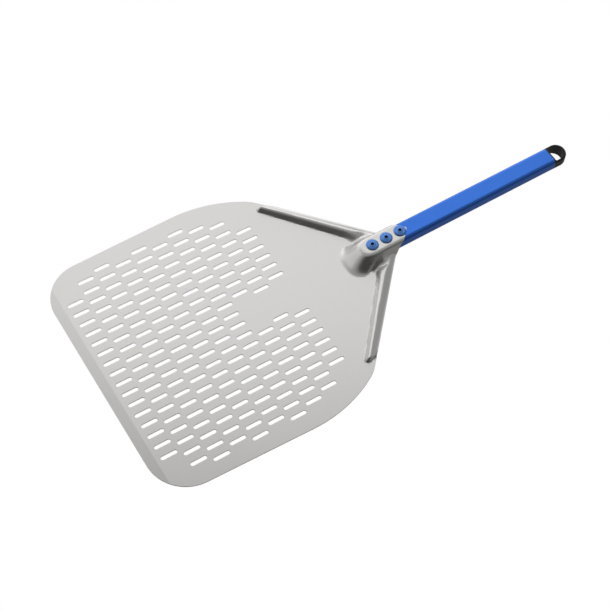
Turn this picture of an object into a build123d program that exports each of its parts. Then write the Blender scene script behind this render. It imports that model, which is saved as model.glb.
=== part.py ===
from build123d import *

import math
import os

# Perforated pizza peel: a pressed aluminium blade riveted to a rounded-rectangular
# tube handle that ends in a plastic cap with a hanging loop.
# Millimetres. While it is modelled, y is measured from the blade's front edge towards
# the handle, x is 0 on the centre line, and z is 0 on the blade's underside.
# export() then moves everything so that y is 0 at the middle of the overall length.

# Blade
SHEET = 1.5
FRONT_CORNER_RADIUS = 49.5
FRONT_FLAT_HALF = 111.9
SIDE_FLARE = 1.7
SIDE_LENGTH = 133.4
SHOULDER_RADIUS = 174.0
SHOULDER_TURN = 31.5
HIP_RADIUS = 51.5
HIP_TURN = 17.55
NECK_RADIUS = 22.0
RAMP_LENGTH = 11.6
RAMP_EDGE = 0.5

# Slots
SLOT_LENGTH = 20.4
SLOT_WIDTH = 4.7
SLOT_PITCH_X = 15.0
SLOT_PITCH_Y = 49.5
FIRST_ROW_Y = 27.2
# Each row: distance from the first row in pitches, then the first and last slot on the
# right-hand side, in pitches from the centre line. The left-hand side is the same.
SLOT_ROWS = [
    (0.0, 0.5, 7.5),
    (0.5, 0.0, 9.0),
    (1.0, 0.5, 9.5),
    (1.5, 0.0, 9.0),
    (2.0, 0.5, 9.5),
    (2.5, 0.0, 9.0),
    (3.0, 0.5, 9.5),
    (3.5, 2.0, 9.0),
    (4.0, 1.5, 8.5),
    (4.5, 2.0, 7.0),
]

# Handle tube. Its frame has y along the tube, z square to the tube's top face, and its
# zero on the top face at the first rivet.
TUBE_WIDTH = 25.4
TUBE_HEIGHT = 17.5
TUBE_CORNER = 4.7
TUBE_WALL = 1.6
HANDLE_TILT = 1.9
HANDLE_ZERO_Y = 366.7
HANDLE_ZERO_Z = 18.4
TUBE_START = -11.7
TUBE_END = 267.5

# Socket and tongue, pressed up from the sheet around the tube
FIT_GAP = 0.1
SOCKET_FOOT_Y = 332.1
SOCKET_BEND_Y = 349.0
SOCKET_FLARE_RADIUS = 6.0
TONGUE_TIP_Y = 416.9
TONGUE_TIP_RADIUS = 3.0
TONGUE_CORNER_RADIUS = 2.0
TONGUE_EDGE_MARGIN = 0.5
TONGUE_WALL_BOTTOM = 7.5
# The walls' lower edge rises between these distances from the tip.
TONGUE_RISE_START = 32.0
TONGUE_RISE_END = 14.0

# Stiffening beads along the rear diagonals
BEAD_RADIUS = 7.0
BEAD_AXIS_Z = 1.2
BEAD_FAR = (120.2, 285.5)
BEAD_NEAR = (13.6, 383.7)

# Blind rivets
RIVET_PITCH = 19.8
RIVET_COUNT = 3
RIVET_FLANGE_RADIUS = 7.8
RIVET_CROWN = 2.2
RIVET_DOME_MIDDLE = 1.9
RIVET_RIM = 0.9
RIVET_SHANK_RADIUS = 3.2
RIVET_BORE_RADIUS = 1.9
RIVET_BULB_RADIUS = 4.6
RIVET_BULB_LENGTH = 4.0
MANDREL_HEAD_RADIUS = 3.0
MANDREL_HEAD_LENGTH = 1.8
MANDREL_HEAD_EDGE = 0.8
MANDREL_GAP = 0.05
MANDREL_RECESS = 2.2

# End cap
CAP_PLATE = 1.7
PLUG_LENGTH = 16.0
PLUG_GAP = 0.1
PLUG_WALL = 1.8
LOOP_STRAIGHT = 10.5
LOOP_EDGE_RADIUS = 4.4
LOOP_HOLE_RADIUS = 11.0
LOOP_HOLE_CENTRE = 8.4
LOOP_HOLE_CORNER = 1.5

HALF_WIDTH = TUBE_WIDTH / 2
TONGUE_HALF = HALF_WIDTH + FIT_GAP + SHEET
LOOP_END = TUBE_END + LOOP_STRAIGHT + HALF_WIDTH
HANDLE_FRAME = Pos(0, HANDLE_ZERO_Y, HANDLE_ZERO_Z) * Rot(HANDLE_TILT, 0, 0)
# Sizes that only have to reach past the part
EXTRA = 30.0
SPAN = 400.0
DRILL_LENGTH = 12.0


def unit(degrees):
    """Unit vector at an angle from +x."""
    angle = math.radians(degrees)
    return Vector(math.cos(angle), math.sin(angle))


def right_half_outline():
    """Outline of the blade's right half, from the front edge to the tongue's tip."""
    front = Line((0, 0), (FRONT_FLAT_HALF, 0))
    corner = JernArc(front @ 1, front % 1, FRONT_CORNER_RADIUS, 90 - SIDE_FLARE)
    side = Line(corner @ 1, (corner @ 1) + (corner % 1) * SIDE_LENGTH)
    shoulder = JernArc(side @ 1, side % 1, SHOULDER_RADIUS, SHOULDER_TURN)
    hip = JernArc(shoulder @ 1, shoulder % 1, HIP_RADIUS, HIP_TURN)
    heading = 90 - SIDE_FLARE + SHOULDER_TURN + HIP_TURN
    past_upright = heading - 90
    neck_end_x = TONGUE_HALF + TONGUE_EDGE_MARGIN
    neck_start_x = neck_end_x + NECK_RADIUS * (1 - unit(past_upright).X)
    reach = ((hip @ 1).X - neck_start_x) / -unit(heading).X
    diagonal = Line(hip @ 1, (hip @ 1) + unit(heading) * reach)
    neck = JernArc(diagonal @ 1, diagonal % 1, NECK_RADIUS, -past_upright)
    flank = Line(neck @ 1, (0, TONGUE_TIP_Y))
    axis = Line((0, TONGUE_TIP_Y), (0, 0))
    return [front, corner, side, shoulder, hip, diagonal, neck, flank, axis]


def blade_outline():
    half = make_face(right_half_outline())
    outline = half + mirror(half, about=Plane.YZ)
    rear = outline.vertices().sort_by(Axis.Y)
    outline = fillet(rear[-1:], TONGUE_TIP_RADIUS)
    return fillet(outline.vertices().sort_by(Axis.Y)[-4:-2], TONGUE_CORNER_RADIUS)


def tube_top(y):
    """Height of the tube's top face above the blade's underside."""
    return HANDLE_ZERO_Z + (y - HANDLE_ZERO_Y) * math.tan(math.radians(HANDLE_TILT))


def socket_form(grow):
    """Wedge that the sheet is pressed over: grow 0 is its inside, SHEET its outside."""
    lift = FIT_GAP + grow
    slope = math.atan2(tube_top(SOCKET_BEND_Y), SOCKET_BEND_Y - SOCKET_FOOT_Y)
    set_back = (SHEET - grow) / math.sin(slope)
    bend_y = SOCKET_BEND_Y + set_back
    foot_y = bend_y - (tube_top(bend_y) + lift) / math.tan(slope)
    end_y = TONGUE_TIP_Y + EXTRA
    profile = Plane.YZ * make_face(Polyline(
        (foot_y, 0),
        (bend_y, tube_top(bend_y) + lift),
        (end_y, tube_top(end_y) + lift),
        (end_y, 0),
        close=True,
    ))
    half = HALF_WIDTH + lift
    wedge = extrude(profile, half, both=True)
    base = wedge.faces().sort_by(Axis.Z)[0]
    back = wedge.faces().sort_by(Axis.Y)[-1]
    hidden = base.edges() + back.edges()
    sharp = [edge for edge in wedge.edges() if not any(edge.is_same(e) for e in hidden)]
    return fillet(sharp, TUBE_CORNER + lift)


def bead_form(side, grow):
    """Round bar along one rear diagonal, with a ball at its far end."""
    far = Vector(side * BEAD_FAR[0], BEAD_FAR[1], BEAD_AXIS_Z)
    near = Vector(side * BEAD_NEAR[0], BEAD_NEAR[1], BEAD_AXIS_Z)
    run = near - far
    radius = BEAD_RADIUS - SHEET + grow
    plane = Plane(origin=far, z_dir=run)
    bar = extrude(plane * Circle(radius), run.length)
    return bar + Pos(far) * Sphere(radius)


def pressed_form(grow):
    """Everything under one face of the sheet: grow 0 is the underside, SHEET the top."""
    block = Pos(0, 0, grow) * Box(
        SPAN, 2 * (TONGUE_TIP_Y + EXTRA), EXTRA, align=(Align.CENTER, Align.CENTER, Align.MAX)
    )
    form = block + socket_form(grow)
    foot = form.edges().filter_by_position(Axis.Z, grow - 0.01, grow + 0.01)
    foot = foot.filter_by(lambda edge: abs(edge.center().X) < TONGUE_HALF + 1)
    foot = foot.filter_by(lambda edge: 0 < edge.center().Y < TONGUE_TIP_Y + EXTRA - 1)
    form = fillet(foot, SOCKET_FLARE_RADIUS + SHEET - grow)
    for side in (-1, 1):
        form += bead_form(side, grow)
    return form


def slots():
    """All slots, as one sketch on the blade."""
    places = []
    for pitches, first, last in SLOT_ROWS:
        y = FIRST_ROW_Y + pitches * SLOT_PITCH_Y
        for step in range(int(last - first) + 1):
            x = (first + step) * SLOT_PITCH_X
            places.append(Pos(x, y))
            if x > 0:
                places.append(Pos(-x, y))
    return Sketch() + [place * SlotOverall(SLOT_LENGTH, SLOT_WIDTH, 90) for place in places]


def ramp_cut():
    """Wedge milled off the top along the front edge."""
    rise = (SHEET - RAMP_EDGE) / RAMP_LENGTH
    profile = Plane.YZ * make_face(Polyline(
        (-RAMP_LENGTH, RAMP_EDGE - rise * RAMP_LENGTH),
        (RAMP_LENGTH, SHEET),
        (-RAMP_LENGTH, SHEET + 1),
        close=True,
    ))
    return extrude(profile, SPAN / 2, both=True)


def tongue_underside_cut():
    """Space below the tongue's side walls, whose lower edge rises towards the tip."""
    start_y = TONGUE_TIP_Y - TONGUE_RISE_START
    end_y = TONGUE_TIP_Y - TONGUE_RISE_END
    profile = Plane.YZ * make_face(Polyline(
        (start_y, -EXTRA),
        (start_y, 0),
        (end_y, TONGUE_WALL_BOTTOM),
        (TONGUE_TIP_Y + EXTRA, TONGUE_WALL_BOTTOM),
        (TONGUE_TIP_Y + EXTRA, -EXTRA),
        close=True,
    ))
    return extrude(profile, SPAN / 2, both=True)


def rivet_place(index):
    return HANDLE_FRAME * Pos(0, index * RIVET_PITCH, 0)


def rivet_holes():
    drill = Cylinder(RIVET_SHANK_RADIUS + FIT_GAP, DRILL_LENGTH)
    return Part() + [rivet_place(index) * drill for index in range(RIVET_COUNT)]


def make_blade():
    sheet = pressed_form(SHEET) - pressed_form(0)
    sheet = sheet & extrude(blade_outline(), EXTRA)
    sheet -= tongue_underside_cut()
    sheet -= ramp_cut()
    sheet -= extrude(slots(), 2 * SHEET)
    return sheet - rivet_holes()


def make_handle_tube():
    section = RectangleRounded(TUBE_WIDTH, TUBE_HEIGHT, TUBE_CORNER)
    section -= RectangleRounded(
        TUBE_WIDTH - 2 * TUBE_WALL, TUBE_HEIGHT - 2 * TUBE_WALL, TUBE_CORNER - TUBE_WALL
    )
    end = Plane(origin=(0, TUBE_END, -TUBE_HEIGHT / 2), x_dir=(1, 0, 0), z_dir=(0, -1, 0))
    tube = extrude(end * section, TUBE_END - TUBE_START)
    return HANDLE_FRAME * tube - rivet_holes()


def make_rivet_body():
    """Set blind rivet in its own frame: z 0 is where its flange sits on the tongue."""
    tail = -(SHEET + FIT_GAP + TUBE_WALL)
    bulb_end = tail - RIVET_BULB_LENGTH
    profile = Plane.XZ * make_face([
        Line((RIVET_BORE_RADIUS, RIVET_CROWN), (RIVET_BORE_RADIUS, bulb_end)),
        Line((RIVET_BORE_RADIUS, bulb_end), (RIVET_SHANK_RADIUS, bulb_end)),
        ThreePointArc(
            (RIVET_SHANK_RADIUS, bulb_end),
            (RIVET_BULB_RADIUS, tail - RIVET_BULB_LENGTH / 2),
            (RIVET_SHANK_RADIUS, tail),
        ),
        Line((RIVET_SHANK_RADIUS, tail), (RIVET_SHANK_RADIUS, 0)),
        Line((RIVET_SHANK_RADIUS, 0), (RIVET_FLANGE_RADIUS, 0)),
        Line((RIVET_FLANGE_RADIUS, 0), (RIVET_FLANGE_RADIUS, RIVET_RIM)),
        ThreePointArc(
            (RIVET_FLANGE_RADIUS, RIVET_RIM),
            ((RIVET_FLANGE_RADIUS + RIVET_BORE_RADIUS) / 2, RIVET_DOME_MIDDLE),
            (RIVET_BORE_RADIUS, RIVET_CROWN),
        ),
    ])
    return revolve(profile, Axis.Z)


def make_mandrel():
    """Broken-off pull mandrel inside one rivet, in the rivet's frame."""
    tail = -(SHEET + FIT_GAP + TUBE_WALL + RIVET_BULB_LENGTH)
    top = RIVET_CROWN - MANDREL_RECESS
    stem_radius = RIVET_BORE_RADIUS - MANDREL_GAP
    stem = Pos(0, 0, tail) * Cylinder(
        stem_radius, top - tail, align=(Align.CENTER, Align.CENTER, Align.MIN)
    )
    head = Pos(0, 0, tail) * Cylinder(
        MANDREL_HEAD_RADIUS, MANDREL_HEAD_LENGTH, align=(Align.CENTER, Align.CENTER, Align.MAX)
    )
    return stem + fillet(head.edges().sort_by(Axis.Z)[0], MANDREL_HEAD_EDGE)


def loop_outline():
    """Plan outline of the cap behind the tube: straight sides and a round end."""
    return make_face([
        Line((-HALF_WIDTH, 0), (HALF_WIDTH, 0)),
        Line((HALF_WIDTH, 0), (HALF_WIDTH, LOOP_STRAIGHT)),
        ThreePointArc(
            (HALF_WIDTH, LOOP_STRAIGHT),
            (0, LOOP_STRAIGHT + HALF_WIDTH),
            (-HALF_WIDTH, LOOP_STRAIGHT),
        ),
        Line((-HALF_WIDTH, LOOP_STRAIGHT), (-HALF_WIDTH, 0)),
    ])


def loop_hole():
    """D-shaped hole: straight sides from the end plate, then round towards the end."""
    sides = Pos(0, CAP_PLATE) * Rectangle(
        2 * LOOP_HOLE_RADIUS, LOOP_HOLE_CENTRE - CAP_PLATE, align=(Align.CENTER, Align.MIN)
    )
    behind_plate = Pos(0, CAP_PLATE) * Rectangle(
        TUBE_WIDTH, TUBE_WIDTH, align=(Align.CENTER, Align.MIN)
    )
    hole = (sides + Pos(0, LOOP_HOLE_CENTRE) * Circle(LOOP_HOLE_RADIUS)) & behind_plate
    return fillet(hole.vertices().sort_by(Axis.Y)[:2], LOOP_HOLE_CORNER)


def make_end_cap():
    """Moulding with a plug in the tube, an end plate and a hanging loop."""
    body = extrude(loop_outline(), -TUBE_HEIGHT)
    outer = body.edges().filter_by(lambda edge: abs(edge.tangent_at(0.5).Z) < 0.5)
    body = fillet(outer.filter_by(lambda edge: edge.center().Y > 1), LOOP_EDGE_RADIUS)
    body -= extrude(loop_hole(), -TUBE_HEIGHT)
    inset = TUBE_WALL + PLUG_GAP
    plug = RectangleRounded(
        TUBE_WIDTH - 2 * inset, TUBE_HEIGHT - 2 * inset, TUBE_CORNER - inset
    )
    recess = RectangleRounded(
        TUBE_WIDTH - 2 * inset - 2 * PLUG_WALL,
        TUBE_HEIGHT - 2 * inset - 2 * PLUG_WALL,
        TUBE_CORNER - inset - PLUG_WALL / 2,
    )
    mouth = Plane(origin=(0, 0, -TUBE_HEIGHT / 2), x_dir=(1, 0, 0), z_dir=(0, -1, 0))
    body += extrude(mouth * plug, PLUG_LENGTH)
    body -= extrude(mouth.offset(PLUG_WALL) * recess, PLUG_LENGTH)
    return HANDLE_FRAME * Pos(0, TUBE_END, 0) * body


def make_parts():
    """Every piece by name, before the move to the part's own origin."""
    parts = {
        "blade": make_blade(),
        "handle_tube": make_handle_tube(),
        "end_cap": make_end_cap(),
    }
    for index in range(RIVET_COUNT):
        seat = rivet_place(index) * Pos(0, 0, FIT_GAP + SHEET)
        parts[f"rivet_body_{index + 1}"] = seat * make_rivet_body()
        parts[f"rivet_mandrel_{index + 1}"] = seat * make_mandrel()
    return parts


os.makedirs("parts", exist_ok=True)
overall_length = HANDLE_ZERO_Y + LOOP_END * math.cos(math.radians(HANDLE_TILT))
for name, part in make_parts().items():
    export_step(Pos(0, -overall_length / 2, 0) * part, f"parts/{name}.step")
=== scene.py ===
import math

import bpy
import numpy as np
from mathutils import Matrix, Vector
from mathutils.geometry import delaunay_2d_cdt


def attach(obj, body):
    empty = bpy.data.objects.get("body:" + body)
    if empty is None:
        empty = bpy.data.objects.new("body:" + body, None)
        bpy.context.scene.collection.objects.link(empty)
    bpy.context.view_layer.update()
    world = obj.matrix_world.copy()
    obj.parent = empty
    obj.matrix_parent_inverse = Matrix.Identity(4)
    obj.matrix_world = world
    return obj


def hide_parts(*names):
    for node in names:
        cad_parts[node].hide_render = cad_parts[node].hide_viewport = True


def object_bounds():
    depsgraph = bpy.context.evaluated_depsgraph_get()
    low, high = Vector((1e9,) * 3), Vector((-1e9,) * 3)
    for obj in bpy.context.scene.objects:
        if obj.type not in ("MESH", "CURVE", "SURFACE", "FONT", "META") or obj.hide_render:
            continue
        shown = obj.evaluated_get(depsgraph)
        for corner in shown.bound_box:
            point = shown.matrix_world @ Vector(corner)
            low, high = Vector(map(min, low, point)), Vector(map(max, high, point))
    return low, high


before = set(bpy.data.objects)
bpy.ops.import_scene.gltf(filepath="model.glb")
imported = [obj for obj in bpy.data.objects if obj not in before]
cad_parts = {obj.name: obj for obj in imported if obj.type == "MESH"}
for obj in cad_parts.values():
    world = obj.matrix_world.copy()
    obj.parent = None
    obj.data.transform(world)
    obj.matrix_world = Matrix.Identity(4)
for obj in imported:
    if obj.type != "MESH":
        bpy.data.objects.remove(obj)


def box_lists(bounds):
    """The two corners of a box as plain lists of numbers."""
    return [[float(value) for value in corner] for corner in bounds]


cad_box = box_lists(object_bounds())


# ---------------------------------------------------------------- camera

# Angles as seen from the aim, distance and aim in metres, lens in millimetres
VIEW_AZIMUTH = math.radians(53.13)
VIEW_ELEVATION = math.radians(57.95)
VIEW_ROLL = math.radians(5.95)
VIEW_DISTANCE = 1.5819
VIEW_LENS = 79.17
VIEW_AIM = Vector((0.0218, -0.0695, 0.0))


def make_camera():
    """Camera that looks down on the blade from in front and to the right."""
    level = math.cos(VIEW_ELEVATION)
    ahead = Vector((
        -math.sin(VIEW_AZIMUTH) * level,
        math.cos(VIEW_AZIMUTH) * level,
        -math.sin(VIEW_ELEVATION),
    ))
    right = Vector((math.cos(VIEW_AZIMUTH), math.sin(VIEW_AZIMUTH), 0.0))
    right = Matrix.Rotation(-VIEW_ROLL, 3, ahead) @ right
    up = right.cross(ahead)
    turn = Matrix((right, up, -ahead)).transposed()
    data = bpy.data.cameras.new("camera")
    data.lens = VIEW_LENS
    camera = bpy.data.objects.new("camera", data)
    camera.matrix_world = Matrix.Translation(VIEW_AIM - ahead * VIEW_DISTANCE) @ turn.to_4x4()
    bpy.context.scene.collection.objects.link(camera)
    bpy.context.scene.camera = camera


# ---------------------------------------------------------------- shader helpers

def new_material(name):
    """A new material and its empty node tree."""
    material = bpy.data.materials.new(name)
    material.use_nodes = True
    tree = material.node_tree
    tree.nodes.clear()
    return material, tree


def node(tree, kind, inputs=None, **settings):
    """Adds one node. inputs maps a socket to a value or to another node's output."""
    made = tree.nodes.new(kind)
    for key, value in settings.items():
        setattr(made, key, value)
    for socket, value in (inputs or {}).items():
        if isinstance(value, bpy.types.NodeSocket):
            tree.links.new(value, made.inputs[socket])
        else:
            made.inputs[socket].default_value = value
    return made


# ---------------------------------------------------------------- stage and light

FLOOR_SIZE = 12.0
FLOOR_DROP = 0.0004
# How bright the floor is to the metal on each side, and between which x or y it changes
FLOOR_LEFT = 1.15
FLOOR_RIGHT = 0.22
FLOOR_CHANGE_X = (-0.22, 0.01)
FLOOR_FRONT = 0.9
FLOOR_BACK = 1.0
FLOOR_CHANGE_Y = (-0.3, 0.3)
# The studio is dark towards DARK_SIDE. DARK_CHANGE is in cosines of the angle from it.
DARK_SIDE = (0.906, -0.423, 0.0)
STUDIO_LEVEL = 0.325
DARK_LEVEL = 0.035
DARK_CHANGE = (0.32, 0.72)
# Name, azimuth and elevation in degrees, width and height in metres, watts
SOFTBOXES = (
    ("softbox_left", 158, 35, (2.9, 2.7), 11.2),
    ("softbox_left_core", 165, 24, (2.9, 0.9), 3.4),
    ("softbox_left_upper", 150, 61, (1.46, 0.5), 0.55),
    ("softbox_front_left", 226, 29, (1.5, 1.4), 2.8),
)
SOFTBOX_DISTANCE = 2.0


def fade(tree, value, start, end, low, high):
    """Value mapped from start..end to low..high, without going beyond."""
    mapped = node(tree, "ShaderNodeMapRange", {
        "Value": value, "From Min": start, "From Max": end, "To Min": low, "To Max": high,
    }, interpolation_type="SMOOTHSTEP")
    return mapped.outputs["Result"]


def product(tree, first, second):
    """Two values multiplied."""
    return node(tree, "ShaderNodeMath", {0: first, 1: second}, operation="MULTIPLY").outputs[0]


def make_floor():
    """White paper. What it gives back to the metal is bright on the key light's side."""
    material, tree = new_material("floor_white")
    path = node(tree, "ShaderNodeLightPath")
    seen = node(tree, "ShaderNodeEmission", {"Color": (1, 1, 1, 1), "Strength": 1.0})
    place = node(tree, "ShaderNodeNewGeometry")
    across = node(tree, "ShaderNodeSeparateXYZ", {0: place.outputs["Position"]})
    sideways = fade(tree, across.outputs["X"], *FLOOR_CHANGE_X, FLOOR_LEFT, FLOOR_RIGHT)
    backward = fade(tree, across.outputs["Y"], *FLOOR_CHANGE_Y, FLOOR_FRONT, FLOOR_BACK)
    bounce = node(tree, "ShaderNodeEmission", {
        "Color": (1, 1, 1, 1), "Strength": product(tree, sideways, backward),
    })
    mixed = node(tree, "ShaderNodeMixShader", {
        0: path.outputs["Is Camera Ray"], 1: bounce.outputs[0], 2: seen.outputs[0],
    })
    node(tree, "ShaderNodeOutputMaterial", {"Surface": mixed.outputs[0]})
    half = FLOOR_SIZE / 2
    low = cad_box[0][2] - FLOOR_DROP
    mesh = bpy.data.meshes.new("floor")
    corners = [(-half, -half, low), (half, -half, low), (half, half, low), (-half, half, low)]
    mesh.from_pydata(corners, [], [(0, 1, 2, 3)])
    mesh.materials.append(material)
    floor = bpy.data.objects.new("floor", mesh)
    bpy.context.scene.collection.objects.link(floor)


def panel(name, direction, distance, size, power):
    """Rectangular softbox that faces the object from a direction."""
    data = bpy.data.lights.new(name, "AREA")
    data.shape = "RECTANGLE"
    data.size, data.size_y = size
    data.energy = power
    light = bpy.data.objects.new(name, data)
    away = Vector(direction).normalized()
    light.location = away * distance
    light.rotation_euler = away.to_track_quat("Z", "Y").to_euler()
    bpy.context.scene.collection.objects.link(light)


def make_light():
    """Even grey studio that is dark on the right, with softboxes on the left."""
    scene = bpy.context.scene
    world = bpy.data.worlds.new("studio")
    world.use_nodes = True
    tree = world.node_tree
    coordinates = node(tree, "ShaderNodeTexCoord")
    toward = node(tree, "ShaderNodeVectorMath", {
        0: coordinates.outputs["Generated"], 1: DARK_SIDE,
    }, operation="DOT_PRODUCT")
    level = fade(tree, toward.outputs["Value"], *DARK_CHANGE, STUDIO_LEVEL, DARK_LEVEL)
    tree.links.new(level, tree.nodes["Background"].inputs["Strength"])
    tree.nodes["Background"].inputs["Color"].default_value = (1, 1, 1, 1)
    scene.world = world
    scene.view_settings.view_transform = "Standard"
    for name, azimuth, elevation, size, power in SOFTBOXES:
        turn, lift = math.radians(azimuth), math.radians(elevation)
        away = (math.cos(turn) * math.cos(lift), math.sin(turn) * math.cos(lift), math.sin(lift))
        panel(name, away, SOFTBOX_DISTANCE, size, power)


# ---------------------------------------------------------------- materials

def noise(tree, scale, detail=2.0, stretch=(1.0, 1.0, 1.0)):
    """Noise fixed to the object. scale is in cycles per metre, less along a long stretch."""
    place = node(tree, "ShaderNodeTexCoord")
    placed = node(tree, "ShaderNodeMapping", {
        "Vector": place.outputs["Object"], "Scale": tuple(1 / part for part in stretch),
    })
    texture = node(tree, "ShaderNodeTexNoise", {
        "Vector": placed.outputs["Vector"], "Scale": scale, "Detail": detail,
    })
    return texture.outputs["Fac"]


def between(tree, factor, low, high, first, second):
    """Colour that goes from first to second as the factor goes from low to high."""
    share = fade(tree, factor, low, high, 0.0, 1.0)
    mixed = node(tree, "ShaderNodeMix", {0: share, 6: first, 7: second}, data_type="RGBA")
    return mixed.outputs[2]


def bumps(tree, height, strength, distance):
    """Normal bent by a height, where a height of 1 stands for the distance in metres."""
    made = node(tree, "ShaderNodeBump", {
        "Height": height, "Strength": strength, "Distance": distance,
    })
    return made.outputs["Normal"]


def finish_material(tree, inputs):
    """Main shader with its inputs, joined to the material's output."""
    shader = node(tree, "ShaderNodeBsdfPrincipled", inputs)
    node(tree, "ShaderNodeOutputMaterial", {"Surface": shader.outputs[0]})


def blade_metal():
    """Satin aluminium: fine blasted grain, faint clouding and a few brighter rubs."""
    material, tree = new_material("satin_aluminium")
    clouds = noise(tree, 14.0, 3.0)
    grain = noise(tree, 1400.0, 2.0)
    rubs = noise(tree, 220.0, 4.0, (1.0, 9.0, 1.0))
    tone = between(tree, clouds, 0.3, 0.7, (0.775, 0.768, 0.752, 1), (0.825, 0.818, 0.80, 1))
    tone_grain = between(tree, grain, 0.25, 0.75, (0.765, 0.757, 0.74, 1), (0.835, 0.827, 0.81, 1))
    colour = node(tree, "ShaderNodeMix", {0: 0.5, 6: tone, 7: tone_grain}, data_type="RGBA")
    rough = node(tree, "ShaderNodeMath", {
        0: fade(tree, clouds, 0.3, 0.7, 0.32, 0.35), 1: fade(tree, rubs, 0.66, 0.8, 0.0, -0.05),
    }, operation="ADD")
    finish_material(tree, {
        "Base Color": colour.outputs[2], "Metallic": 1.0, "Roughness": rough.outputs[0],
        "Normal": bumps(tree, grain, 0.10, 0.00012),
    })
    return material


def cut_metal_painted_pale():
    """Bare aluminium of the punched slots and trimmed edge, paler than the faces: partly its own
    bare colour, partly a painted highlight so the thin rims show no shade.
    """
    material, tree = new_material("cut_aluminium_painted_pale")
    drag = noise(tree, 900.0, 3.0, (1.0, 1.0, 6.0))
    finish_material(tree, {
        # These pale tones are partly painted highlight, so that rims facing the dark side do not
        # turn dark
        "Base Color": between(
            tree, drag, 0.3, 0.7, (0.86, 0.855, 0.84, 1), (0.95, 0.945, 0.93, 1)
        ),
        "Metallic": 0.35, "Roughness": fade(tree, drag, 0.3, 0.7, 0.5, 0.62),
        "Normal": bumps(tree, drag, 0.15, 0.0001),
    })
    return material


def blue_metal(name, base, deep, roughness):
    """Dyed anodised aluminium under its clear hard layer, with lines along the handle."""
    material, tree = new_material(name)
    lines = noise(tree, 1500.0, 3.0, (1.0, 260.0, 1.0))
    clouds = noise(tree, 30.0, 3.0, (1.0, 5.0, 1.0))
    grain = noise(tree, 2600.0, 2.0)
    tone = between(tree, clouds, 0.3, 0.7, deep, base)
    rough = node(tree, "ShaderNodeMath", {
        0: fade(tree, lines, 0.3, 0.7, -0.03, 0.03), 1: roughness,
    }, operation="ADD")
    height = node(tree, "ShaderNodeMath", {0: lines, 1: grain}, operation="ADD")
    finish_material(tree, {
        "Base Color": tone, "Metallic": 1.0, "Roughness": rough.outputs[0],
        "Normal": bumps(tree, height.outputs[0], 0.10, 0.00008),
        "Coat Weight": 0.4, "Coat Roughness": 0.24, "Coat IOR": 1.5,
    })
    return material


def black_plastic():
    """Moulded black plastic with a fine spark-eroded texture and slight shine."""
    material, tree = new_material("black_plastic")
    texture = noise(tree, 1800.0, 3.0)
    clouds = noise(tree, 90.0, 3.0)
    finish_material(tree, {
        "Base Color": between(
            tree, clouds, 0.3, 0.7, (0.013, 0.013, 0.014, 1), (0.020, 0.020, 0.020, 1)
        ),
        "Roughness": fade(tree, clouds, 0.3, 0.7, 0.24, 0.34),
        "Normal": bumps(tree, texture, 0.12, 0.0001),
    })
    return material


def mandrel_steel():
    """Dark oiled steel with a coarse broken face."""
    material, tree = new_material("mandrel_steel")
    broken = noise(tree, 1200.0, 4.0)
    finish_material(tree, {
        "Base Color": between(
            tree, broken, 0.3, 0.7, (0.03, 0.03, 0.032, 1), (0.09, 0.09, 0.09, 1)
        ),
        "Metallic": 1.0, "Roughness": fade(tree, broken, 0.3, 0.7, 0.35, 0.6),
        "Normal": bumps(tree, broken, 0.6, 0.0004),
    })
    return material


def dress(material, *names):
    """Gives a material to the named CAD nodes."""
    for name in names:
        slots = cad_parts[name].data.materials
        slots.clear()
        slots.append(material)


# ---------------------------------------------------------------- blade: its driving sizes

# Millimetres. y is measured from the blade's front edge towards the handle, x from the
# centre line, z from the blade's underside. to_frame() changes to metres in the frame.
SHEET = 1.5
RIM_BEVEL = 0.22

# The outline's runs are lengths, and its arcs are a radius and a turn in degrees
FRONT_FLAT_HALF = 111.9
FRONT_CORNER = (49.5, 88.3)
SIDE_LENGTH = 133.4
SHOULDER = (174.0, 31.5)
HIP = (51.5, 17.55)
NECK_RADIUS = 22.0
NECK_END_X = 13.9
NECK_EXTRA_TURN = 12.0
RAMP_LENGTH = 11.6
RAMP_EDGE = 0.5
RAMP_LINE_POINTS = 60

SLOT_HALF_RUN = 7.85
SLOT_RADIUS = 2.35
SLOT_PITCH_X = 15.0
SLOT_PITCH_Y = 49.5
FIRST_ROW_Y = 27.2
# Each row: its distance from the first row in pitches, then its first and last slot on
# the right, in pitches from the centre line. The left is the same.
SLOT_ROWS = [
    (0.0, 0.5, 7.5),
    (0.5, 0.0, 9.0),
    (1.0, 0.5, 9.5),
    (1.5, 0.0, 9.0),
    (2.0, 0.5, 9.5),
    (2.5, 0.0, 9.0),
    (3.0, 0.5, 9.5),
    (3.5, 2.0, 9.0),
    (4.0, 1.5, 8.5),
    (4.5, 2.0, 7.0),
]

# Pressed socket and tongue. The socket's nose is a rounded box in plan, longer ahead of
# the tongue than beside it.
HANDLE_SLOPE = math.tan(math.radians(1.9))
HANDLE_ZERO_Y = 366.7
TONGUE_ZERO_Z = 20.0
TONGUE_FLAT_HALF = 9.3
TONGUE_CORNER = 5.1
TONGUE_TIP_Y = 416.9
TONGUE_BREAK = (8.4, 408.4)
TONGUE_WALL_END_Y = 402.3
TONGUE_WALL_SLOPE = 11.4
WALL_END_ROUNDING = 1.5
BREAK_ROUNDING = 2.0
TIP_ROUNDING = 2.6
TIP_POINTS = 9
NOSE_Y = 370.0
NOSE_STRETCH = 1.62
NOSE_SQUARENESS = 3.0
SOCKET_SLOPE = 1.35
SOCKET_STEEPENING = 0.06
SOCKET_FLARE_START = 369.0
SOCKET_FLARE_END = 390.0
RIVET_COUNT = 3
RIVET_PITCH = 19.8
RIVET_HOLES_Y = [HANDLE_ZERO_Y + index * RIVET_PITCH for index in range(RIVET_COUNT)]
RIVET_HOLE_RADIUS = 3.3

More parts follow.
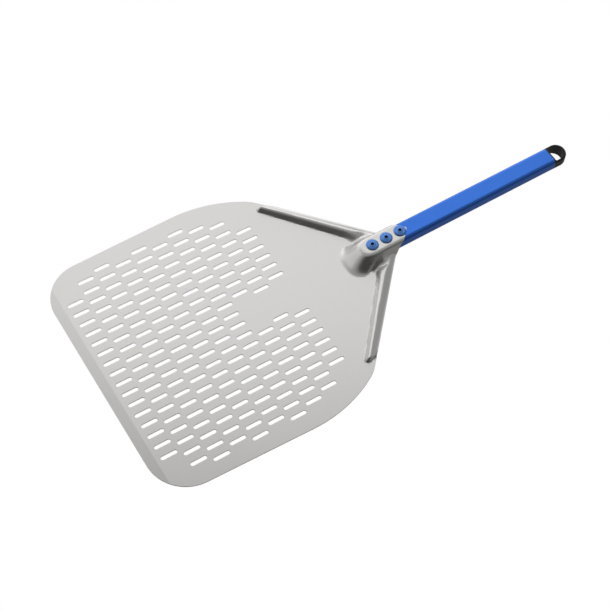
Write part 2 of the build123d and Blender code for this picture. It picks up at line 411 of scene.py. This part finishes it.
# Stiffening beads, measured in from the rear edge between its two ends
REAR_FAR = np.array((125.8, 291.6))
REAR_NEAR = np.array((33.1, 377.0))
BEAD_LENGTH = 118.0
BEAD_CREST = 9.5
BEAD_HEIGHT_FAR = 6.6
BEAD_HEIGHT_NEAR = 8.0
BEAD_EDGE_HEIGHT = 3.0
BEAD_OUTER_START = 0.3
BEAD_INNER_SLOPE = 1.9
BEAD_FOOT_FAR = 13.1
BEAD_FOOT_NEAR = 17.8
BEAD_END = -7.0
BEAD_END_SLOPE = 2.0
BEAD_END_CURVE = 0.14
# Near the neck each bead's inner side eases out into a low web
WEB_START = 104.0
WEB_END = 131.0
WEB_SLOPE = 0.45
WEB_WIDENING = 5.0

# Rounding between the pressed shapes, each as the height over which it acts. The foot's
# rounding opens out where the socket stands clear of the bead, and ahead of the nose.
CREST_BLEND = 6.5
END_BLEND = 3.0
CREASE_BLEND = 12.0
BEAD_FOOT_BLEND = 1.8
SOCKET_FOOT_BLEND = 5.5
NOSE_FOOT_BLEND = 15.0
OPEN_FOOT_RISE = (2.0, 12.0)
NOSE_FOOT_REACH = 14.0

# Mesh. The neck has a fine grid, the beads have strips along them, and the flat plate has
# a coarse grid. Strips are start, end and step along the rear edge and in from it.
UNROLL_HALF = 40.0
NECK_START_Y = 322.0
NECK_GRID_HALF = 44.0
FINE_STEP = 1.2
STRIP_START_X = 23.0
STRIP_ALONG = (-14.0, 150.0, 1.6)
STRIP_INWARD = (-3.0, 21.0, 1.1)
COARSE_STEP = 7.0
COARSE_HALF = 161.0
COARSE_Y = (4.0, 395.0)
SHARP_ANGLE = math.radians(28)

front_y = cad_box[0][1] * 1000


def to_frame(points):
    """Points in the blade's millimetres as metres in the frame."""
    return (np.asarray(points) + (0.0, front_y, 0.0)) / 1000


# ---------------------------------------------------------------- blade: pressed shape

def soft_min(a, b, blend):
    """Smaller of two heights, rounded where they cross."""
    near = np.maximum(blend - np.abs(a - b), 0.0) / blend
    return np.minimum(a, b) - near * near * blend / 4


def soft_max(a, b, blend):
    """Larger of two heights, rounded where they cross."""
    return -soft_min(-a, -b, blend)


def ease(start, end, value):
    """0 before start, 1 after end, and smooth between."""
    t = np.clip((value - start) / (end - start), 0.0, 1.0)
    return t * t * (3 - 2 * t)


def socket_height(x, y):
    """Socket and tongue: flat top, rounded corners, and sides that lean out to the plate."""
    top = TONGUE_ZERO_Z - SHEET + (y - HANDLE_ZERO_Y) * HANDLE_SLOPE
    flare = ease(SOCKET_FLARE_START, SOCKET_FLARE_END, y)
    slope = SOCKET_SLOPE * (TONGUE_WALL_SLOPE / SOCKET_SLOPE) ** flare
    steepening = SOCKET_STEEPENING * (1 - flare)
    ahead = np.maximum(NOSE_Y - y, 0.0) / NOSE_STRETCH
    power = NOSE_SQUARENESS
    reach = (np.abs(x) ** power + ahead ** power) ** (1 / power)
    out = np.maximum(reach - TONGUE_FLAT_HALF, 0.0)
    turn = TONGUE_CORNER * np.sin(np.arctan(slope))
    drop = TONGUE_CORNER - np.sqrt(TONGUE_CORNER ** 2 - np.minimum(out, turn) ** 2)
    beyond = np.maximum(out - turn, 0.0)
    return top - drop - beyond * (slope + steepening * beyond)


def bead_place(x, y):
    """How far points are in from the rear edge's line and along it from the shoulder."""
    run = (REAR_NEAR - REAR_FAR) / np.linalg.norm(REAR_NEAR - REAR_FAR)
    away_x, away_y = np.abs(x) - REAR_FAR[0], y - REAR_FAR[1]
    inward = -away_x * run[1] + away_y * run[0]
    return inward, away_x * run[0] + away_y * run[1]


def bead_height(x, y):
    """Both beads: a low slope up from the rear edge, and a steep one down to the plate."""
    inward, along = bead_place(x, y)
    share = np.clip(along / BEAD_LENGTH, 0.0, 1.2)
    web = ease(WEB_START, WEB_END, along)
    foot = BEAD_FOOT_FAR + (BEAD_FOOT_NEAR - BEAD_FOOT_FAR) * share + WEB_WIDENING * web
    rise = ease(BEAD_OUTER_START, BEAD_CREST, inward)
    crest = BEAD_HEIGHT_FAR + (BEAD_HEIGHT_NEAR - BEAD_HEIGHT_FAR) * share
    outer = BEAD_EDGE_HEIGHT + (crest - BEAD_EDGE_HEIGHT) * rise
    inner = (foot - inward) * (BEAD_INNER_SLOPE + (WEB_SLOPE - BEAD_INNER_SLOPE) * web)
    end_start = BEAD_END + BEAD_END_CURVE * (inward - BEAD_CREST) ** 2
    end = (along - end_start) * BEAD_END_SLOPE
    return soft_min(soft_min(inner, outer, CREST_BLEND), end, END_BLEND)


def formed_height(x, y):
    """How far the sheet's top is pressed up from the flat plate."""
    socket = socket_height(x, y)
    bead = bead_height(x, y)
    raised = soft_max(socket, bead, CREASE_BLEND)
    open_foot = ease(*OPEN_FOOT_RISE, socket - bead)
    ahead = ease(0.0, NOSE_FOOT_REACH, NOSE_Y - y)
    foot_blend = SOCKET_FOOT_BLEND + (NOSE_FOOT_BLEND - SOCKET_FOOT_BLEND) * ahead
    blend = BEAD_FOOT_BLEND + (foot_blend - BEAD_FOOT_BLEND) * open_foot
    height = soft_max(raised, np.zeros_like(raised), blend)
    return height * ease(-0.01, 0.02, height)


def formed_normal(x, y, step=0.01):
    """Unit normal of the pressed shape, from its heights a small step to each side."""
    across = (formed_height(x + step, y) - formed_height(x - step, y)) / (2 * step)
    ahead = (formed_height(x, y + step) - formed_height(x, y - step)) / (2 * step)
    normal = np.stack([-across, -ahead, np.ones_like(across)], axis=-1)
    return normal / np.linalg.norm(normal, axis=-1, keepdims=True)


# ---------------------------------------------------------------- blade: flat pattern

# The mesh is made on a pattern (u, y). u runs along the sheet's cross-section, so the
# steep walls of the tongue get as many points as the flat plate does.

def unroll_table(y):
    """Positions across the blade and how far along the section each one is, per row."""
    x = np.linspace(0.0, UNROLL_HALF, 401)
    heights = formed_height(x[None, :], np.asarray(y, float)[:, None] + 0 * x[None, :])
    length = np.hypot(np.diff(x)[None, :], np.diff(heights, axis=1))
    along = np.concatenate([np.zeros((len(length), 1)), np.cumsum(length, axis=1)], axis=1)
    return x, along * UNROLL_HALF / along[:, -1:]


def to_pattern(x, y):
    """u of points given by x."""
    x, y = np.asarray(x, float), np.asarray(y, float)
    across, along = unroll_table(y)
    inner = [np.interp(abs(value), across, row) for value, row in zip(x, along)]
    return np.where(np.abs(x) < UNROLL_HALF, np.sign(x) * inner, x)


def from_pattern(u, y):
    """x of points given by u."""
    u, y = np.asarray(u, float), np.asarray(y, float)
    across, along = unroll_table(y)
    inner = [np.interp(abs(value), row, across) for value, row in zip(u, along)]
    return np.where(np.abs(u) < UNROLL_HALF, np.sign(u) * inner, u)


def trace(start, steps, spacing=2.5):
    """Points along runs and arcs. A step is a length, or a radius and a turn in degrees."""
    points = [np.array(start, float)]
    heading = 0.0
    for step in steps:
        radius, turn = step if isinstance(step, tuple) else (None, step)
        if radius is None:
            count = max(1, int(turn / (2 * spacing)))
            for _ in range(count):
                ahead = np.array([math.cos(heading), math.sin(heading)])
                points.append(points[-1] + ahead * turn / count)
            continue
        angle = math.radians(turn)
        count = max(4, int(abs(radius * angle) / spacing))
        chord = 2 * radius * math.sin(abs(angle) / count / 2)
        for _ in range(count):
            heading += angle / count / 2
            points.append(points[-1] + chord * np.array([math.cos(heading), math.sin(heading)]))
            heading += angle / count / 2
    return points, heading


def round_corner(before, corner, after, reach, count=6):
    """Points of a smooth turn that leaves and joins the lines at a distance from the corner."""
    before, corner, after = (np.array(point, float) for point in (before, corner, after))
    start = corner + (before - corner) / np.linalg.norm(before - corner) * reach
    end = corner + (after - corner) / np.linalg.norm(after - corner) * reach
    return [
        (1 - t) ** 2 * start + 2 * t * (1 - t) * corner + t * t * end
        for t in np.linspace(0.0, 1.0, count)
    ]


def blade_loop():
    """Whole edge of the blade as a loop of pattern points, anticlockwise."""
    steps = [FRONT_FLAT_HALF, FRONT_CORNER, SIDE_LENGTH, SHOULDER, HIP]
    points, heading = trace((0.0, 0.0), steps)
    past = heading - math.pi / 2
    neck_start_x = NECK_END_X + NECK_RADIUS * (1 - math.cos(past))
    reach = (points[-1][0] - neck_start_x) / -math.cos(heading)
    steps += [reach, (NECK_RADIUS, NECK_EXTRA_TURN - math.degrees(past))]
    points, heading = trace((0.0, 0.0), steps)
    plan = np.array(points)
    pattern = np.column_stack([to_pattern(plan[:, 0], plan[:, 1]), plan[:, 1]])
    wall_u = to_pattern([NECK_END_X], [TONGUE_WALL_END_Y])[0]
    break_u = to_pattern([TONGUE_BREAK[0]], [TONGUE_BREAK[1]])[0]
    tip = (0.0, TONGUE_TIP_Y)
    wall = (wall_u, TONGUE_WALL_END_Y)
    top = (break_u, TONGUE_BREAK[1])
    rear = round_corner(pattern[-1], wall, top, WALL_END_ROUNDING)
    rear += round_corner(wall, top, tip, BREAK_ROUNDING)
    whole_tip = round_corner(top, tip, (-break_u, TONGUE_BREAK[1]), TIP_ROUNDING, TIP_POINTS)
    rear += whole_tip[:TIP_POINTS // 2 + 1]
    right = np.vstack([pattern, rear])
    left = right[-2:0:-1] * (-1, 1)
    return np.vstack([right, left])


def slot_centres():
    """Middle of each slot, row by row."""
    centres = []
    for pitches, first, last in SLOT_ROWS:
        y = FIRST_ROW_Y + pitches * SLOT_PITCH_Y
        for step in range(int(last - first) + 1):
            x = (first + step) * SLOT_PITCH_X
            centres += [(x, y)] if x == 0 else [(x, y), (-x, y)]
    return np.array(centres)


def slot_loop(centre, grow, count=8):
    """Edge of one slot, larger by grow."""
    radius = SLOT_RADIUS + grow
    angles = np.linspace(0.0, math.pi, count)
    far = np.column_stack([radius * np.cos(angles), SLOT_HALF_RUN + radius * np.sin(angles)])
    return centre + np.vstack([far, -far])


def hole_loop(y, count=24):
    """Edge of one rivet hole."""
    angles = np.arange(count) * 2 * math.pi / count
    x, along = RIVET_HOLE_RADIUS * np.cos(angles), y + RIVET_HOLE_RADIUS * np.sin(angles)
    return np.column_stack([to_pattern(x, along), along])


def inset(loop, distance):
    """Loop moved inwards by a distance; the loop is anticlockwise."""
    ahead = np.roll(loop, -1, axis=0) - np.roll(loop, 1, axis=0)
    ahead /= np.linalg.norm(ahead, axis=1, keepdims=True)
    return loop + distance * np.column_stack([-ahead[:, 1], ahead[:, 0]])


def loop_distance(points, loop):
    """Distance from each point to a closed loop."""
    start, end = loop, np.roll(loop, -1, axis=0)
    run = end - start
    best = np.full(len(points), np.inf)
    for a, d in zip(start, run):
        t = np.clip(((points - a) @ d) / (d @ d), 0.0, 1.0)
        best = np.minimum(best, np.linalg.norm(points - a - t[:, None] * d, axis=1))
    return best


def inside_loop(points, loop):
    """Which points are inside a closed loop: their line to one side crosses it an odd
    number of times."""
    inside = np.zeros(len(points), bool)
    for (ax, ay), (bx, by) in zip(loop, np.roll(loop, -1, axis=0)):
        if ay == by:
            continue
        spans = (ay > points[:, 1]) != (by > points[:, 1])
        inside ^= spans & (points[:, 0] < ax + (points[:, 1] - ay) * (bx - ax) / (by - ay))
    return inside


def slot_distance(points, centres):
    """Distance from each point to the nearest slot's edge, negative inside it."""
    best = np.full(len(points), np.inf)
    for centre in centres:
        off = points - centre
        off[:, 1] -= np.clip(off[:, 1], -SLOT_HALF_RUN, SLOT_HALF_RUN)
        best = np.minimum(best, np.hypot(off[:, 0], off[:, 1]) - SLOT_RADIUS)
    return best


def bead_points():
    """Plan points in strips along both beads."""
    run = (REAR_NEAR - REAR_FAR) / np.linalg.norm(REAR_NEAR - REAR_FAR)
    inward = np.array([-run[1], run[0]])
    along, across = np.meshgrid(np.arange(*STRIP_ALONG), np.arange(*STRIP_INWARD))
    plan = REAR_FAR + along.ravel()[:, None] * run + across.ravel()[:, None] * inward
    return np.vstack([plan, plan * (-1, 1)])


def grid(half, low, high, step):
    """Square grid of points, from -half to half across and low to high along y."""
    across, along = np.meshgrid(np.arange(-half, half + 0.1, step), np.arange(low, high, step))
    return np.column_stack([across.ravel(), along.ravel()])


def neck_points():
    """Fine pattern points in the neck, beside the strips of the beads."""
    fine = grid(NECK_GRID_HALF, NECK_START_Y, TONGUE_TIP_Y, FINE_STEP)
    across = from_pattern(fine[:, 0], fine[:, 1])
    inward, _ = bead_place(across, fine[:, 1])
    off_strip = (inward > STRIP_INWARD[1] + 0.5) | (inward < STRIP_INWARD[0])
    return fine[(np.abs(across) < STRIP_START_X) | off_strip]


def strip_points(centres):
    """Pattern points along both beads, clear of the neck's grid and of the slots."""
    strips = bead_points()
    strips = strips[np.abs(strips[:, 0]) > STRIP_START_X + FINE_STEP / 2]
    strips = np.column_stack([to_pattern(strips[:, 0], strips[:, 1]), strips[:, 1]])
    return strips[slot_distance(strips, centres) > 1.0]


def plate_points(centres):
    """Coarse pattern points on the flat plate, clear of all that has finer points."""
    coarse = grid(COARSE_HALF, *COARSE_Y, COARSE_STEP)
    inward, along = bead_place(coarse[:, 0], coarse[:, 1])
    beside = (inward > STRIP_INWARD[0] - 3.0) & (inward < STRIP_INWARD[1] + 3.0)
    in_strip = beside & (along > STRIP_ALONG[0] - 4.0)
    in_neck = (np.abs(coarse[:, 0]) < NECK_GRID_HALF + 2.0) & (coarse[:, 1] > NECK_START_Y - 3.0)
    coarse = coarse[~in_strip & ~in_neck]
    coarse = coarse[slot_distance(coarse, centres) > 2.4]
    return coarse[np.abs(coarse[:, 1] - RAMP_LENGTH) > 2.0]


def inner_points(edge, centres):
    """Pattern points inside the edge: close together where the sheet is pressed."""
    groups = ((neck_points(), 0.8), (strip_points(centres), 0.9), (plate_points(centres), 2.5))
    kept = []
    for points, room in groups:
        points = points[inside_loop(points, edge)]
        kept.append(points[loop_distance(points, edge) > room])
    return np.vstack(kept)


# ---------------------------------------------------------------- blade: mesh

class Pattern:
    """Points and constraint edges of the flat pattern, and which points are on a rim."""

    def __init__(self):
        self.points = []
        self.edges = []
        self.rim = []

    def add(self, points, rim=False, closed=False, joined=False):
        """Adds points: alone, joined in a line, or joined in a closed loop."""
        first = len(self.points)
        count = len(points)
        self.points += [tuple(point) for point in points]
        self.rim += [rim] * count
        if joined or closed:
            self.edges += [(first + i, first + i + 1) for i in range(count - 1)]
        if closed:
            self.edges.append((first + count - 1, first))


def ramp_line(edge):
    """Points on the line where the ramp meets the plate, from rim to rim."""
    near = edge[(np.abs(edge[:, 1] - RAMP_LENGTH) < 6) & (edge[:, 0] > 0)]
    half = np.interp(RAMP_LENGTH, near[:, 1], near[:, 0]) - RIM_BEVEL / 2
    return [(x, RAMP_LENGTH) for x in np.linspace(-half, half, RAMP_LINE_POINTS)]


def blade_pattern():
    """Triangles of the pattern, with its points and a mark for those on a rim."""
    edge = blade_loop()
    centres = slot_centres()
    pattern = Pattern()
    pattern.add(edge, rim=True, closed=True)
    pattern.add(inset(edge, RIM_BEVEL), closed=True)
    for centre in centres:
        pattern.add(slot_loop(centre, 0.0), rim=True, closed=True)
        pattern.add(slot_loop(centre, RIM_BEVEL), closed=True)
    for y in RIVET_HOLES_Y:
        pattern.add(hole_loop(y), rim=True, closed=True)
    pattern.add(ramp_line(edge), joined=True)
    pattern.add(inner_points(edge, centres))

    flat = [Vector(point) for point in pattern.points]
    result = delaunay_2d_cdt(flat, pattern.edges, [], 0, 1e-6)
    points = np.array([tuple(point) for point in result[0]])
    rim = np.array([any(pattern.rim[i] for i in origin) for origin in result[3]])
    faces = np.array([face for face in result[2]])
    middle = points[faces].mean(axis=1)
    keep = inside_loop(middle, edge) & (slot_distance(middle, centres) > 0)
    for y in RIVET_HOLES_Y:
        keep &= ~inside_loop(middle, hole_loop(y))
    return points, faces[keep], rim


def rim_edges(faces):
    """Edges that only one triangle uses, in that triangle's direction."""
    edges = np.vstack([faces[:, [0, 1]], faces[:, [1, 2]], faces[:, [2, 0]]])
    seen = {}
    for a, b in edges.tolist():
        seen.setdefault((min(a, b), max(a, b)), []).append((a, b))
    return [uses[0] for uses in seen.values() if len(uses) == 1]


def press(pattern, rim):
    """Top and bottom points of the sheet, in millimetres, with its rims bevelled."""
    x, y = from_pattern(pattern[:, 0], pattern[:, 1]), pattern[:, 1]
    thickness = RAMP_EDGE + (SHEET - RAMP_EDGE) * np.clip(y / RAMP_LENGTH, 0.0, 1.0)
    top = np.column_stack([x, y, thickness + formed_height(x, y)])
    normal = formed_normal(x, y)
    bottom = top - normal * thickness[:, None]
    bevel = np.where(rim, np.minimum(RIM_BEVEL, thickness * 0.35), 0.0)[:, None]
    return top - normal * bevel, bottom + normal * bevel


def drop_unused(verts, faces):
    """Points that a face uses, the faces in their numbers, and each old point's number."""
    used = np.unique(np.concatenate([np.ravel(face) for face in faces]))
    renumber = -np.ones(len(verts), int)
    renumber[used] = np.arange(len(used))
    return verts[used], [renumber[list(face)].tolist() for face in faces], renumber


def sharpen(mesh, points):
    """Marks the edges that run between the given points as sharp."""
    for side in mesh.edges:
        if points.issuperset(side.vertices):
            side.use_edge_sharp = True


def make_blade(face_material, rim_material):
    """Blade as one closed mesh: the pattern pressed to shape, with thickness and rims."""
    pattern, faces, rim = blade_pattern()
    top, bottom = press(pattern, rim)
    count = len(top)
    all_faces = faces.tolist() + (faces[:, ::-1] + count).tolist()
    is_rim = rim[faces].any(axis=1).tolist() * 2
    walls = [(b, a, a + count, b + count) for a, b in rim_edges(faces)]
    all_faces += walls
    is_rim += [True] * len(walls)
    verts = to_frame(np.vstack([top, bottom]))
    verts, all_faces, renumber = drop_unused(verts, all_faces)
    mesh = bpy.data.meshes.new("blade_sheet")
    mesh.from_pydata(verts.tolist(), [], all_faces)
    mesh.validate()
    mesh.materials.append(face_material)
    mesh.materials.append(rim_material)
    mesh.polygons.foreach_set("material_index", np.array(is_rim, dtype=np.int32))
    mesh.shade_smooth()
    mesh.set_sharp_from_angle(angle=SHARP_ANGLE)
    on_crease = np.abs(pattern[:, 1] - RAMP_LENGTH) < 0.001
    sharpen(mesh, set(renumber[:count][on_crease].tolist()))
    blade = bpy.data.objects.new("blade_sheet", mesh)
    bpy.context.scene.collection.objects.link(blade)
    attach(blade, "root")
    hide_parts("blade")


# ---------------------------------------------------------------- rivet heads

# Half section of a set blind rivet, r and z in millimetres from its seat: the bore, the
# bulb behind the tube's wall, the flange's flat underside, its rounded rim and domed top,
# and the rolled lip round the bore.
RIVET_SECTION = (
    (1.9, -7.2), (3.2, -7.2), (3.9, -6.8), (4.5, -5.9), (4.6, -5.2), (4.5, -4.5),
    (3.9, -3.6), (3.2, -3.2), (3.2, 0.0), (7.45, 0.0), (7.7, 0.12), (7.8, 0.40),
    (7.8, 0.62), (7.68, 0.88), (7.35, 1.10), (6.7, 1.33), (5.9, 1.52), (5.1, 1.66),
    (4.4, 1.74), (3.9, 1.78), (3.6, 1.86), (3.3, 2.04), (2.95, 2.17), (2.55, 2.20),
    (2.2, 2.10), (1.98, 1.85), (1.9, 1.4),
)
RIVET_SEAT = 1.6
RIVET_SIDES = 64
RIVET_SHARP_ANGLE = math.radians(40)
# Height of the tube's top face at HANDLE_ZERO_Y
HANDLE_ZERO_Z = 18.4


def make_rivet(index, material):
    """One rivet body, turned from its half section and set square to the handle."""
    turn = np.linspace(0.0, 2 * math.pi, RIVET_SIDES, endpoint=False)
    section = np.array(RIVET_SECTION)
    x = section[:, 0] * np.cos(turn)[:, None]
    along = section[:, 0] * np.sin(turn)[:, None] + index * RIVET_PITCH
    up = np.broadcast_to(section[:, 1] + RIVET_SEAT, x.shape)
    tilt = math.atan(HANDLE_SLOPE)
    y = HANDLE_ZERO_Y + along * math.cos(tilt) - up * math.sin(tilt)
    z = HANDLE_ZERO_Z + along * math.sin(tilt) + up * math.cos(tilt)
    verts = to_frame(np.column_stack([x.ravel(), y.ravel(), z.ravel()]))
    steps = len(section)
    faces = []
    for ring in range(RIVET_SIDES):
        after = (ring + 1) % RIVET_SIDES
        for step in range(steps):
            ahead = (step + 1) % steps
            faces.append((
                ring * steps + step, after * steps + step,
                after * steps + ahead, ring * steps + ahead,
            ))
    name = f"rivet_{index + 1}"
    mesh = bpy.data.meshes.new(name)
    mesh.from_pydata(verts.tolist(), [], faces)
    mesh.materials.append(material)
    mesh.shade_smooth()
    mesh.set_sharp_from_angle(angle=RIVET_SHARP_ANGLE)
    rivet = bpy.data.objects.new(name, mesh)
    bpy.context.scene.collection.objects.link(rivet)
    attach(rivet, "root")
    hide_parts(f"rivet_body_{index + 1}")


# ---------------------------------------------------------------- the scene

# Main and deeper colour, and roughness
TUBE_BLUE = ((0.046, 0.208, 0.83, 1), (0.040, 0.190, 0.78, 1), 0.33)
RIVET_BLUE = ((0.115, 0.275, 0.70, 1), (0.098, 0.250, 0.65, 1), 0.27)

make_camera()
make_floor()
make_light()
make_blade(blade_metal(), cut_metal_painted_pale())
dress(blue_metal("blue_anodised_tube", *TUBE_BLUE), "handle_tube")
rivet_blue = blue_metal("blue_anodised_rivet", *RIVET_BLUE)
for index in range(RIVET_COUNT):
    make_rivet(index, rivet_blue)
dress(mandrel_steel(), "rivet_mandrel_1", "rivet_mandrel_2", "rivet_mandrel_3")
dress(black_plastic(), "end_cap")
